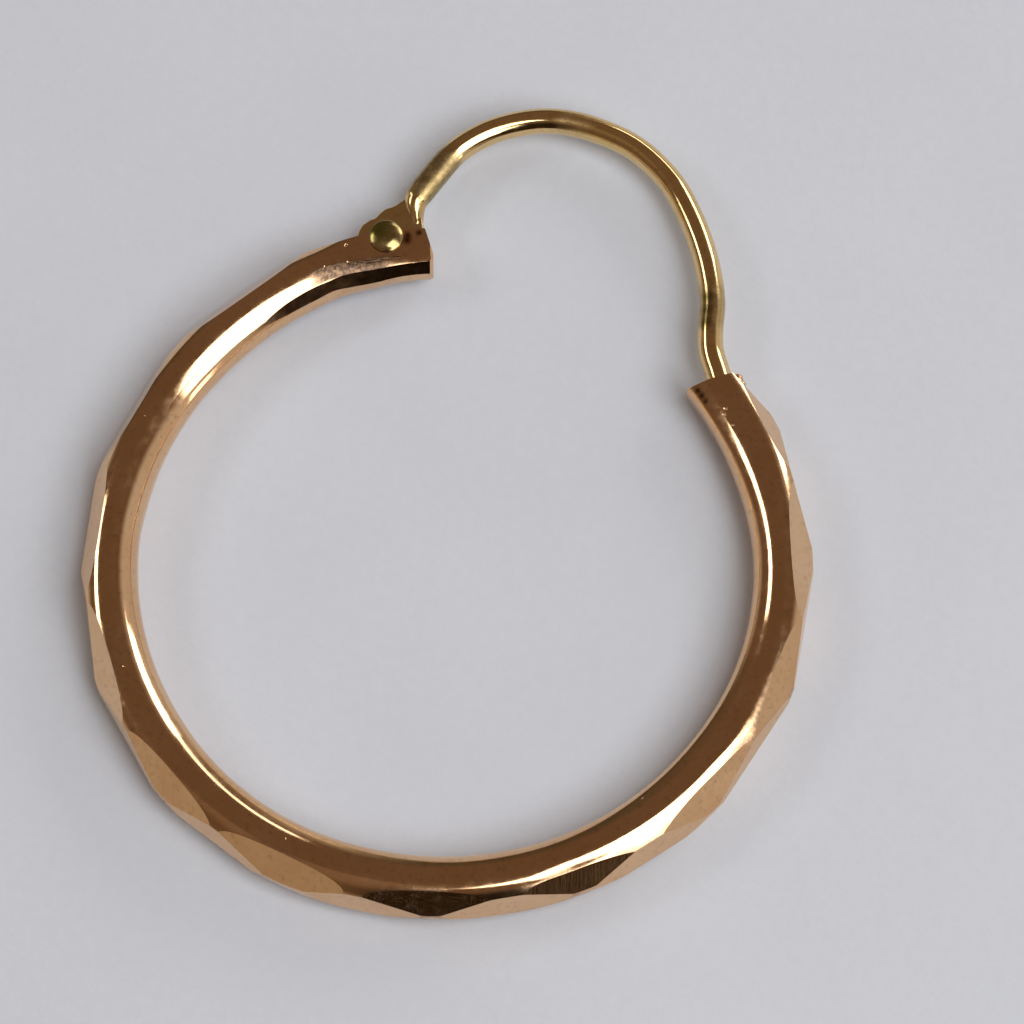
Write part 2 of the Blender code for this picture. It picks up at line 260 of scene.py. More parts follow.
SIDE_FLATS = [
    # azimuth, elevation, depth above, depth below
    (39.2, 17.0, 0.141, 0.141),
    (13.5, 8.0, 0.150, 0.150),
    (-10.0, 8.0, 0.165, 0.165),
    (-33.0, 14.0, 0.180, 0.180),
    (-57.0, 18.0, 0.165, 0.050),
    (-80.5, 14.0, 0.165, 0.000),
    (-101.7, 12.0, 0.130, 0.000),
    (-127.5, 14.0, 0.150, 0.100),
    (-150.6, 9.0, 0.150, 0.150),
    (-171.5, 8.0, 0.150, 0.150),
    (-209.0, 22.0, 0.145, 0.100),
    (-232.8, 26.5, 0.205, 0.100),
    (-252.0, 20.0, 0.050, 0.050),
]

# The hinge joint stands on the pivot, which gives the place of the ring's centre.
JOINT = Vector(frame["joints"][0]["pos_m"])
CENTRE = JOINT - Vector((*PIVOT, 0.0)) * MM

# Camera: a long lens high over the near side of the ring.
CAMERA_TILT = 18.5
CAMERA_DISTANCE = 150.0
CAMERA_RIGHT = 1.9985
CAMERA_UP = 1.594
LENS = 174.02


def make_camera():
    tilt = math.radians(CAMERA_TILT)
    data = bpy.data.cameras.new("camera")
    data.lens = LENS
    data.sensor_width = 36.0
    data.clip_start = 0.001
    data.clip_end = 10.0
    camera = bpy.data.objects.new("camera", data)
    bpy.context.scene.collection.objects.link(camera)
    back = Vector((0.0, -math.sin(tilt), math.cos(tilt)))
    up = Vector((0.0, math.cos(tilt), math.sin(tilt)))
    right = Vector((1.0, 0.0, 0.0))
    place = back * CAMERA_DISTANCE + right * CAMERA_RIGHT + up * CAMERA_UP
    camera.location = CENTRE + place * MM
    camera.rotation_euler = (tilt, 0.0, 0.0)
    bpy.context.scene.camera = camera


def direction(azimuth, elevation):
    turn = math.radians(azimuth)
    rise = math.radians(elevation)
    return Vector((math.cos(turn) * math.cos(rise), math.sin(turn) * math.cos(rise), math.sin(rise)))


# The window is wider at its foot than at its head, so two lights make it up.
LIGHTS = [
    # name, azimuth, elevation, width and height in degrees, radiance, colour
    ("window_head", -25.0, 69.5, 27.0, 26.0, 4.2, (1.0, 0.995, 0.98)),
    ("window_foot", -37.5, 44.5, 39.0, 24.0, 4.2, (1.0, 0.995, 0.98)),
    ("low_window", -22.5, 8.0, 9.0, 26.0, 2.6, (1.0, 0.98, 0.94)),
    ("side_window", 42.0, 24.5, 17.0, 17.0, 4.2, (1.0, 0.98, 0.95)),
    ("side_glow", 62.0, 22.0, 23.0, 9.0, 2.4, (1.0, 0.98, 0.95)),
    ("far_window", 163.0, 37.0, 25.0, 12.0, 4.2, (1.0, 0.98, 0.94)),
]
LIGHT_DISTANCE = 0.6

PAPER_LIGHT = (0.67, 0.72, 0.81)
PAPER_DARK = (0.645, 0.69, 0.78)


def make_lights():
    for name, azimuth, elevation, width, height, radiance, colour in LIGHTS:
        data = bpy.data.lights.new(name, "AREA")
        data.shape = "RECTANGLE"
        data.size = 2.0 * LIGHT_DISTANCE * math.tan(math.radians(0.5 * width))
        data.size_y = 2.0 * LIGHT_DISTANCE * math.tan(math.radians(0.5 * height))
        data.energy = radiance * math.pi * data.size * data.size_y
        data.color = colour
        light = bpy.data.objects.new(name, data)
        bpy.context.scene.collection.objects.link(light)
        towards = direction(azimuth, elevation)
        light.location = CENTRE + towards * LIGHT_DISTANCE
        light.rotation_euler = towards.to_track_quat("Z", "Y").to_euler()


class Network:
    """Short calls that build a node tree."""

    def __init__(self, tree):
        self.nodes = tree.nodes
        self.links = tree.links

    def node(self, kind, **settings):
        made = self.nodes.new("ShaderNode" + kind)
        for name, value in settings.items():
            setattr(made, name, value)
        return made

    def feed(self, socket, value):
        if isinstance(value, bpy.types.NodeSocket):
            self.links.new(value, socket)
        elif value is not None:
            socket.default_value = value

    def math(self, operation, first, second=None, third=None):
        node = self.node("Math", operation=operation)
        for socket, value in zip(node.inputs, (first, second, third)):
            self.feed(socket, value)
        return node.outputs[0]

    def along(self, vector, way):
        node = self.node("VectorMath", operation="DOT_PRODUCT")
        self.feed(node.inputs[0], vector)
        node.inputs[1].default_value = way
        return node.outputs["Value"]

    def fade(self, value, start, stop, low=0.0, high=1.0):
        node = self.node("MapRange", interpolation_type="SMOOTHSTEP")
        self.feed(node.inputs["Value"], value)
        node.inputs["From Min"].default_value = start
        node.inputs["From Max"].default_value = stop
        node.inputs["To Min"].default_value = low
        node.inputs["To Max"].default_value = high
        return node.outputs["Result"]

    def mix(self, factor, first, second):
        node = self.node("Mix", data_type="RGBA")
        self.feed(node.inputs["Factor"], factor)
        for socket, value in ((node.inputs["A"], first), (node.inputs["B"], second)):
            self.feed(socket, (*value, 1.0) if isinstance(value, tuple) else value)
        return node.outputs["Result"]

    def millimetres(self):
        """Place on the object, in millimetres."""
        place = self.node("TexCoord").outputs["Object"]
        return self.stretch(place, (1000.0, 1000.0, 1000.0))

    def stretch(self, place, scale, turn=0.0):
        node = self.node("Mapping")
        self.feed(node.inputs["Vector"], place)
        node.inputs["Rotation"].default_value = (0.0, 0.0, math.radians(turn))
        node.inputs["Scale"].default_value = scale
        return node.outputs["Vector"]

    def noise(self, place, scale, detail=2.0, roughness=0.5):
        node = self.node("TexNoise")
        self.feed(node.inputs["Vector"], place)
        node.inputs["Scale"].default_value = scale
        node.inputs["Detail"].default_value = detail
        node.inputs["Roughness"].default_value = roughness
        return node.outputs["Fac"]

    def near(self, place, spot, reach):
        """One at a spot, given in millimetres, fading to nothing at its reach."""
        node = self.node("VectorMath", operation="DISTANCE")
        self.feed(node.inputs[0], place)
        node.inputs[1].default_value = spot
        return self.fade(node.outputs["Value"], reach, 0.0)

    def attribute(self, name):
        return self.node("Attribute", attribute_name=name).outputs["Fac"]


# Surroundings that the polished metal mirrors, from the ceiling down to the horizon.
CEILING = (0.15, 0.097, 0.062)
SURROUNDINGS = [
    # azimuth and its half width, lowest and highest elevation, softness, colour
    ("ceiling_left", -140.0, 34.0, 52.0, 95.0, 12.0, (0.22, 0.15, 0.10)),
    ("table", 0.0, 190.0, -95.0, 8.0, 8.0, (0.46, 0.42, 0.36)),
    ("table_left", -132.0, 38.0, -95.0, 14.0, 9.0, (0.44, 0.37, 0.28)),
    ("wall", 3.0, 46.0, -95.0, 38.0, 12.0, (0.54, 0.50, 0.46)),
    ("corner", 112.0, 30.0, -95.0, 16.0, 9.0, (0.09, 0.07, 0.042)),
    ("figure", -82.0, 24.0, -28.0, 52.0, 10.0, (0.020, 0.013, 0.007)),
    ("arm", -50.0, 10.0, 16.0, 33.0, 5.0, (0.040, 0.027, 0.016)),
    ("skirting", 66.0, 13.0, -2.0, 5.0, 3.0, (0.75, 0.66, 0.52)),
]


def make_world():
    world = bpy.data.worlds.new("studio")
    bpy.context.scene.world = world
    world.use_nodes = True
    net = Network(world.node_tree)
    view = net.node("TexCoord").outputs["Generated"]
    height = net.math("ARCSINE", net.along(view, (0.0, 0.0, 1.0)))
    colour = CEILING
    for name, azimuth, half_width, low, high, softness, shade in SURROUNDINGS:
        across = net.along(view, direction(azimuth + 90.0, 0.0))
        ahead = net.along(view, direction(azimuth, 0.0))
        off = net.math("ABSOLUTE", net.math("ARCTAN2", across, ahead))
        mask = net.math("MULTIPLY", fade_angle(net, off, half_width, softness),
                        fade_angle(net, height, high, softness))
        mask = net.math("MULTIPLY", mask, fade_angle(net, height, low, -softness))
        colour = net.mix(mask, colour, shade)
    net.links.new(colour, net.nodes["Background"].inputs["Color"])


def fade_angle(net, value, edge, softness):
    return net.fade(value, math.radians(edge + softness), math.radians(edge - softness))


def make_floor():
    bm = bmesh.new()
    bmesh.ops.create_grid(bm, x_segments=1, y_segments=1, size=1.5)
    mesh = bpy.data.meshes.new("paper")
    bm.to_mesh(mesh)
    bm.free()
    floor = bpy.data.objects.new("paper", mesh)
    bpy.context.scene.collection.objects.link(floor)
    material = bpy.data.materials.new("paper")
    material.use_nodes = True
    net = Network(material.node_tree)
    shader = net.nodes["Principled BSDF"]
    place = net.millimetres()
    clouds = net.noise(place, 0.16, 2.0)
    grain = net.noise(place, 2.6, 3.0, 0.6)
    shade = net.math("MULTIPLY_ADD", clouds, 0.5, net.math("MULTIPLY", grain, 0.5))
    net.links.new(net.mix(net.fade(shade, 0.3, 0.7), PAPER_DARK, PAPER_LIGHT), shader.inputs["Base Color"])
    shader.inputs["Roughness"].default_value = 0.65
    bump = net.node("Bump")
    bump.inputs["Distance"].default_value = MM
    net.links.new(net.math("MULTIPLY", grain, 0.012), bump.inputs["Height"])
    net.links.new(bump.outputs["Normal"], shader.inputs["Normal"])
    mesh.materials.append(material)


def gold(name, colour, tint, tarnish_and_shade, roughness, painted_shade_spots):
    """Polished worn gold: its colour, that of its duller patches, the colour of its tarnish and painted shade, and
    spots of painted shade.
    """
    material = bpy.data.materials.new(name)
    material.use_nodes = True
    net = Network(material.node_tree)
    shader = net.nodes["Principled BSDF"]
    shader.inputs["Metallic"].default_value = 1.0
    place = net.millimetres()
    patches = net.noise(place, 0.5, 3.0, 0.6)
    specks = net.noise(place, 5.5, 3.0, 0.65)
    shade = net.mix(net.fade(patches, 0.38, 0.68), colour, tint)
    darker = tuple(0.82 * part for part in tint)
    shade = net.mix(net.fade(specks, 0.52, 0.72, 0.0, 0.8), shade, darker)
    mottle = net.fade(net.noise(place, 8.0, 3.0, 0.7), 0.40, 0.62, 1.0, 0.72)
    # Tarnish and painted shade: darker colour where the mesh carries this attribute, dimming highlights that the
    # shape would give.
    shade = net.mix(net.math("MULTIPLY", net.attribute("tarnish_and_shade"), mottle), shade, tarnish_and_shade)
    # Painted shade: darkened spots in gaps, in the mouth and where the metal should mirror dark surroundings.
    for spot, reach, shade_colour in painted_shade_spots:
        shade = net.mix(net.near(place, spot, reach), shade, shade_colour)
    net.links.new(shade, shader.inputs["Base Color"])

    flat = net.attribute("flat")
    wear = net.attribute("wear")
    dull = net.fade(net.noise(place, 2.7, 4.0, 0.6), 0.35, 0.75, 0.75 * roughness, 1.5 * roughness)
    net.links.new(net.math("MULTIPLY_ADD", wear, 0.16, dull), shader.inputs["Roughness"])

    heights = (
        (net.noise(place, 0.9, 2.0), 0.0010),
        (net.noise(place, 6.5, 2.0), 0.0003),
        (net.noise(net.stretch(place, (38.0, 2.0, 2.0), 62.0), 1.0, 2.0), 0.00012),
        (net.noise(net.stretch(place, (30.0, 1.6, 1.6), -24.0), 1.0, 2.0), 0.00012),
    )
    height = 0.0
    for field, size in heights:
        height = net.math("MULTIPLY_ADD", field, size, height)
    milled = net.noise(net.stretch(place, (11.0, 0.5, 0.5), 4.0), 1.0, 2.0)
    pitted = net.noise(place, 14.0, 3.0, 0.7)
    on_flat = net.math("MULTIPLY_ADD", milled, 0.0006, net.math("MULTIPLY", pitted, 0.0004))
    height = net.math("MULTIPLY_ADD", on_flat, flat, height)
    worn = net.math("MULTIPLY", net.noise(place, 9.0, 3.0, 0.7), 0.005)
    height = net.math("MULTIPLY_ADD", worn, net.math("MINIMUM", wear, 1.0), height)
    bump = net.node("Bump")
    bump.inputs["Distance"].default_value = MM
    net.links.new(height, bump.inputs["Height"])
    net.links.new(bump.outputs["Normal"], shader.inputs["Normal"])
    return material


def smooth(value):
    value = np.clip(value, 0.0, 1.0)
    return value * value * (3.0 - 2.0 * value)


def ring_radius(angle):
    turn = np.radians(3.0 * np.asarray(angle))
    return RING_RADIUS + RING_TRILOBE * np.sin(turn) + RING_TRILOBE_COS * np.cos(turn)


def tube_radius(angle):
    at_hinge = HINGE_NARROWING * smooth((-190.0 - angle) / 30.0)
    at_mouth = MOUTH_NARROWING * smooth((angle - 12.0) / 26.0)
    return TUBE_RADIUS - at_hinge - at_mouth


def along_ring(angles, table):
    """Values from a table by ring angle, rounded off where they bend."""
    places, sizes = zip(*table)
    offsets = np.linspace(-4.0, 4.0, 9)
    weights = 5.0 - np.abs(offsets)
    values = [weight * np.interp(angles + off, places, sizes) for off, weight in zip(offsets, weights)]
    return sum(values) / weights.sum()


def shoulder(angles, turns):
    """Fullness of the upper and lower inner shoulders, which the bending left uneven."""
    size = along_ring(angles, SHOULDERS)
    off = np.abs(np.abs((np.degrees(turns) + 180.0) % 360.0 - 180.0) - SHOULDER_TURN)
    return size * (0.5 + 0.5 * np.cos(np.pi * np.clip(off / SHOULDER_SPREAD, 0.0, 1.0)))


def crown(angles, turns):
    """Loss of height beside the widest flats, where the burnishing tool has pressed."""
    off = np.abs(np.abs((np.degrees(turns) + 180.0) % 360.0 - 180.0) - CROWN_TURN)
    size = CROWN_LOSS * smooth((angles - CROWN_FROM) / 8.0) * smooth((CROWN_TO - angles) / 8.0)
    return size * (0.5 + 0.5 * np.cos(np.pi * np.clip(off / CROWN_SPREAD, 0.0, 1.0)))


def section(angles):
    """Tube radius, inner and outer half width, half height, and power of the rounded section."""
    flat = smooth((FLAT_FROM - angles) / (FLAT_FROM - FLAT_FULL))
    radius = tube_radius(angles)
    inner = radius + (FLAT_INNER_WIDTH - radius) * flat + along_ring(angles, INNER_FULLNESS)
    outer = radius + (FLAT_OUTER_WIDTH - radius) * flat + MOUTH_BULGE * smooth((angles - 8.0) / 16.0)
    height = radius + (FLAT_HALF_HEIGHT - radius) * flat
    return radius, inner, outer, height, 2.0 / (2.0 + (FLAT_EXPONENT - 2.0) * flat)


def surface(angles, turns):
    """Points of the tube's outer surface, in millimetres, at ring angles and section turns."""
    radius, inner, outer, height, power = section(angles)
    across = np.copysign(np.abs(np.cos(turns)) ** power, np.cos(turns))
    upward = np.copysign(np.abs(np.sin(turns)) ** power, np.sin(turns))
    fuller = 1.0 + (shoulder(angles, turns) - crown(angles, turns)) / radius
    outward = outer * np.maximum(across, 0.0) + inner * np.minimum(across, 0.0)
    reach = ring_radius(angles) + outward * fuller
    around = np.radians(angles)
    return np.stack([reach * np.cos(around), reach * np.sin(around), height * upward * fuller], axis=-1)


def surface_place(points):
    """Ring angle and section turn of points near the tube's surface: the inverse of surface()."""
    angles = np.degrees(np.arctan2(points[:, 1], points[:, 0]))
    angles = np.where(angles > TUBE_TO + 10.0, angles - 360.0, angles)
    _, inner, outer, height, power = section(angles)
    outward = np.hypot(points[:, 0], points[:, 1]) - ring_radius(angles)
    width = np.where(outward > 0.0, outer, inner)
    across = np.copysign(np.abs(outward / width) ** (1.0 / power), outward)
    upward = np.copysign(np.abs(points[:, 2] / height) ** (1.0 / power), points[:, 2])
    return angles, np.arctan2(upward, across)


def surface_normals(angles, turns):
    step = 0.05
    bend = math.radians(step)
    along = surface(angles + step, turns) - surface(angles - step, turns)
    around = surface(angles, turns + bend) - surface(angles, turns - bend)
    normals = np.cross(along, around)
    return normals / np.linalg.norm(normals, axis=1, keepdims=True)


def flat_planes():
    """Normal and offset, in millimetres, of every flat cut on the tube."""
    chosen = []
    for azimuth, elevation, depth in UPPER_FLATS:
        chosen += [(azimuth, elevation, depth), (azimuth, -elevation, depth)]
    for azimuth, elevation, above, below in SIDE_FLATS:
        chosen.append((azimuth, elevation, above))
        if below:
            chosen.append((azimuth, -elevation, below))
    planes = []
    for azimuth, elevation, depth in chosen:
        offset = float(ring_radius(azimuth)) * math.cos(math.radians(elevation))
        offset += float(tube_radius(azimuth)) - depth
        planes.append((direction(azimuth, elevation), offset))
    return planes


def slice_away(bm, parts, normal, offset):
    """Removes what lies beyond a plane and closes the opening with one face."""
    cut = bmesh.ops.bisect_plane(
        bm, geom=parts, dist=1e-4, plane_co=normal * offset, plane_no=normal, clear_outer=True
    )
    rim = [part for part in cut["geom_cut"] if isinstance(part, bmesh.types.BMEdge)]
    if rim:
        bmesh.ops.edgeloop_fill(bm, edges=rim)


def parts_of(verts):
    """The vertices with every edge and face that has only these vertices."""
    inside = set(verts)
    edges = {edge for vert in inside for edge in vert.link_edges if inside.issuperset(edge.verts)}
    faces = {face for vert in inside for face in vert.link_faces if inside.issuperset(face.verts)}
    return list(inside) + list(edges) + list(faces)


def chamfer_planes():
    """Planes that take the sharp edge off the end face, along the flat and along the bevel."""
    across = Vector((1.0, 0.0, 0.0))
    turn = 180.0 + math.degrees(math.atan2(END_FACE[1], END_FACE[0] - END_CHAMFER))
    planes = []
    for side in (1.0, -1.0):
        up = Vector((0.0, 0.0, side))
        bevel = direction(turn, side * BEVEL_ELEVATION)
        on_flat = Vector((END_FACE[0] - END_CHAMFER, 0.0, side * FLAT_HALF_HEIGHT))
        on_bevel = Vector((END_FACE[0] - END_CHAMFER, *bevel_surface(np.array([turn - 540.0]), 0.0)[0][1:]))
        on_bevel.z *= side
        for way, point in ((up, on_flat), (bevel, on_bevel)):
            normal = (across + way).normalized()
            planes.append((normal, normal.dot(point)))
    return planes


def make_hoop_mesh():
    """The tube in millimetres about the ring's centre, with its ends and its flats cut."""
    angles = np.linspace(TUBE_FROM, TUBE_TO, TUBE_RINGS)
    turns = np.radians(np.linspace(0.0, 360.0, TUBE_SIDES, endpoint=False))
    points = surface(angles[:, None] + 0.0 * turns, turns + 0.0 * angles[:, None])
    bm = bmesh.new()
    rings = [[bm.verts.new(point) for point in ring] for ring in points]
    for first, second in zip(rings, rings[1:]):
        for side in range(TUBE_SIDES):
            after = (side + 1) % TUBE_SIDES
            bm.faces.new((first[side], second[side], second[after], first[after]))
    bm.faces.new(rings[0])
    bm.faces.new(rings[-1])
    bmesh.ops.recalc_face_normals(bm, faces=bm.faces[:])
    for corner, turn, middle in (
        (END_FACE, END_FACE_TURN, END_FACE),
        (END_CORNER, END_CORNER_TURN, END_FACE),
        (END_TOP, END_TOP_TURN, END_FACE),
        (MOUTH_CORNER, MOUTH_TURN, MOUTH_CORNER),
    ):
        normal = direction(turn, 0.0)
        middle = Vector((*middle, 0.0))
        ended = [vert for vert in bm.verts if (vert.co - middle).length < END_REACH]
        slice_away(bm, parts_of(ended), normal, normal.dot(Vector((*corner, 0.0))))
    for normal, offset in chamfer_planes():
        ended = [vert for vert in bm.verts if (vert.co - Vector((*END_FACE, 0.0))).length < END_REACH]
        slice_away(bm, parts_of(ended), normal, offset)
    for normal, offset in flat_planes():
        slice_away(bm, bm.verts[:] + bm.edges[:] + bm.faces[:], normal, offset)
    bmesh.ops.recalc_face_normals(bm, faces=bm.faces[:])
    return bm


def object_from(bm, name, place=True):
    """A mesh object from a bmesh drawn in millimetres about the ring's centre."""
    mesh = bpy.data.meshes.new(name)
    bm.to_mesh(mesh)
    bm.free()
    if place:
        mesh.transform(Matrix.Translation(CENTRE) @ Matrix.Scale(MM, 4))
    obj = bpy.data.objects.new(name, mesh)
    bpy.context.scene.collection.objects.link(obj)
    return obj


def arc(radius, start, stop, steps):
    turns = np.radians(np.linspace(start, stop, steps))
    return [(radius * math.cos(turn), radius * math.sin(turn)) for turn in turns]


def join(obj, other):
    bm = bmesh.new()
    bm.from_mesh(obj.data)
    bm.from_mesh(other.data)
    bm.to_mesh(obj.data)
    bm.free()
    bpy.data.objects.remove(other)


def make_prism(name, outline, thickness, middle):
    """A flat closed outline about middle, given thickness about the ring's plane."""
    bm = bmesh.new()
    low, high = [
        [bm.verts.new((x + middle[0], y + middle[1], side * thickness)) for x, y in outline]
        for side in (-0.5, 0.5)
    ]
    bm.faces.new(low)
    bm.faces.new(high)
    for this, after in zip(range(len(outline)), [*range(1, len(outline)), 0]):
        bm.faces.new((low[this], low[after], high[after], high[this]))
    bmesh.ops.recalc_face_normals(bm, faces=bm.faces[:])
    return object_from(bm, name)


def rod_ring(bm, point, ahead, radius, sides, power=1.0):
    """A ring of vertices about a point, square to the way ahead in the ring's plane."""
    up = Vector((0.0, 0.0, 1.0))
    across = ahead.cross(up)
    ring = []
    for side in range(sides):
        turn = 2.0 * math.pi * side / sides
        sideways = math.copysign(abs(math.cos(turn)) ** power, math.cos(turn))
        upward = math.copysign(abs(math.sin(turn)) ** power, math.sin(turn))
        ring.append(bm.verts.new(point + radius * (sideways * across + upward * up)))
    return ring


def make_rod(points, radii, sides, powers=None):
    """A rod of changing radius along points in the ring's plane."""
    bm = bmesh.new()
    points = [Vector((*point[:2], 0.0)) for point in points]
    rings = []
    for index, (point, radius) in enumerate(zip(points, radii)):
        before = points[max(index - 1, 0)]
        after = points[min(index + 1, len(points) - 1)]
        power = float(powers[index]) if powers is not None else 1.0
        rings.append(rod_ring(bm, point, (after - before).normalized(), float(radius), sides, power))
    for first, second in zip(rings, rings[1:]):
        for side in range(sides):
            after = (side + 1) % sides
            bm.faces.new((first[side], second[side], second[after], first[after]))
    bm.faces.new(rings[0])
    bm.faces.new(rings[-1])
    bmesh.ops.recalc_face_normals(bm, faces=bm.faces[:])
    return bm


def apply_modifiers(obj):
    bpy.context.view_layer.update()
    graph = bpy.context.evaluated_depsgraph_get()
    mesh = bpy.data.meshes.new_from_object(obj.evaluated_get(graph))
    obj.modifiers.clear()
    old = obj.data
    obj.data = mesh
    bpy.data.meshes.remove(old)


def cut_with(obj, cutters, operation="DIFFERENCE"):
    """Applies exact Booleans to obj and removes the cutters."""
    for cutter in cutters:
        modifier = obj.modifiers.new(cutter.name, "BOOLEAN")
        modifier.operation = operation
        modifier.solver = "EXACT"
        modifier.object = cutter
    apply_modifiers(obj)
    for cutter in cutters:
        bpy.data.objects.remove(cutter)


def bevel_surface(angles, along, out=0.0):
    """Points of the upper hinge bevel at ring angles and at distances up its slope and out from it."""
    rise = math.radians(BEVEL_ELEVATION)
    near = along_ring(angles, BEVEL_DISTANCES) + out
    reach = ring_radius(angles) + along * math.sin(rise) - near * math.cos(rise)
    around = np.radians(angles)
    upward = along * math.cos(rise) + near * math.sin(rise)
    return np.stack([reach * np.cos(around), reach * np.sin(around), upward], axis=-1)


def bevel_normals(points):
    """How far points stand off the hinge bevels, and the bevels' normals there."""
    rise = math.radians(BEVEL_ELEVATION)
    angles, _ = surface_place(points)
    outward = np.hypot(points[:, 0], points[:, 1]) - ring_radius(angles)
    upward = np.abs(points[:, 2])
    along = outward * math.sin(rise) + upward * math.cos(rise)
    out = upward * math.sin(rise) - outward * math.cos(rise)
    turned = bevel_surface(angles + 0.05, along) - bevel_surface(angles - 0.05, along)
    sloped = bevel_surface(angles, along + 0.01) - bevel_surface(angles, along - 0.01)
    normals = np.cross(sloped, turned)
    normals /= np.linalg.norm(normals, axis=1, keepdims=True)
    normals[:, 2] = np.copysign(normals[:, 2], points[:, 2])
    return np.abs(out - along_ring(angles, BEVEL_DISTANCES)) + 9.0 * (angles > BEVEL_TO), normals


def make_bevel(name, side):
    """The curved wedge that takes off the inner edge of the hinge end."""
    angles = np.linspace(TUBE_FROM - 3.0, BEVEL_TO, 120)
    corners = [bevel_surface(angles, along, out) for along, out in ((-0.9, 0.0), (0.9, 0.0), (0.9, 1.2), (-0.9, 1.2))]
    bm = bmesh.new()
    rows = [[bm.verts.new((x, y, side * z)) for x, y, z in row] for row in zip(*corners)]
    for first, second in zip(rows, rows[1:]):
        for corner in range(4):
            after = (corner + 1) % 4
            bm.faces.new((first[corner], first[after], second[after], second[corner]))
    bm.faces.new(rows[0])
    bm.faces.new(rows[-1])
    bmesh.ops.recalc_face_normals(bm, faces=bm.faces[:])
    return object_from(bm, name)


def make_balls(name, balls):
    """Fine balls in one mesh, given as centre and radius in millimetres."""
    bm = bmesh.new()
    for centre, radius in balls:
        place = Matrix.Translation(centre)
        bmesh.ops.create_icosphere(bm, subdivisions=3, radius=radius, matrix=place)
    return object_from(bm, name)


# Small pits in the tube, by ring angle and section turn.
PITS = [
    # ring angle, turn, radius, depth
    (29.2, 113.0, 0.10, 0.026),
    (28.4, 121.0, 0.10, 0.024),
    (25.8, 116.5, 0.09, 0.016),
    (-52.0, 134.5, 0.07, 0.012),
    (-57.8, 48.0, 0.08, 0.016),
    (-252.9, 72.0, 0.11, 0.022),
    (-252.3, 100.0, 0.10, 0.022),
    (-253.6, 104.0, 0.11, 0.022),
    (-249.6, 106.0, 0.10, 0.018),
    (-248.2, 99.0, 0.09, 0.014),
    (-160.0, 92.0, 0.09, 0.010),
    (-206.0, 82.0, 0.08, 0.010),
    (-118.0, 105.0, 0.08, 0.010),
]

# Burrs left by the saw and by the solder, in millimetres about the ring's centre.
BURRS = [
    # x, y, z, radius
    (-1.67, 9.42, -0.28, 0.165),
    (-2.02, 9.42, -0.30, 0.135),
    (-1.33, 9.43, -0.28, 0.150),
    (8.91, 5.83, 0.40, 0.170),
    (9.03, 5.69, 0.30, 0.130),
    (8.78, 5.77, 0.47, 0.110),
]

# Grooves along the inner edge of the flattened end.
GROOVES = [
    # x, y, z at one end and at the other, radius
    (-2.54, 9.60, 0.600, -2.06, 9.67, 0.600, 0.060),
    (-2.00, 9.72, 0.605, -1.42, 9.77, 0.605, 0.060),
]


def pit_balls():
    balls = []
    for angle, turn, radius, depth in PITS:
        place = np.array([float(angle)]), np.radians([float(turn)])
        point = Vector(surface(*place)[0])
        normal = Vector(surface_normals(*place)[0])
        balls.append((point + normal * (radius - depth), radius))
    return balls


def burr_balls():
    return [(Vector((x, y, z)), radius) for x, y, z, radius in BURRS]


def make_groove(row):
    """A straight round rod between two points."""
    start, stop, radius = Vector(row[:3]), Vector(row[3:6]), row[6]
    turn = (stop - start).to_track_quat("Z", "Y").to_matrix().to_4x4()
    bm = bmesh.new()
    place = Matrix.Translation(0.5 * (start + stop)) @ turn
    bmesh.ops.create_cone(
        bm, cap_ends=True, segments=16, radius1=radius, radius2=radius, depth=(stop - start).length, matrix=place
    )
    return object_from(bm, "groove")


def make_hoop_cutters():
    angles = np.linspace(BORE_FROM, BORE_TO, 50)
    radii = MOUTH_BORE_RADIUS * np.sqrt(np.clip((angles - BORE_FROM) / 3.0, 0.01, 1.0))
    around = np.radians(angles)
    points = (ring_radius(angles) * np.stack([np.cos(around), np.sin(around)])).T
    bore = object_from(make_rod(points, radii, 48), "bore")
    outline = arc(SLOT_RADIUS, 200.0, 340.0, 40)
    outline += [(3.0, SLOT_FLOOR), (3.0, 3.0), (SLOT_LEFT, 3.0), (SLOT_LEFT, SLOT_SHOULDER)]
    slot = make_prism("slot", outline, SLOT_WIDTH, PIVOT)
    hole = make_prism("hole", arc(PIN_HOLE_RADIUS, 0.0, 352.5, 48), 4.0, PIVOT)
    bevels = [make_bevel("upper_bevel", 1.0), make_bevel("lower_bevel", -1.0)]
    return bevels + [bore, slot, hole, make_balls("pits", pit_balls())] + [make_groove(row) for row in GROOVES]


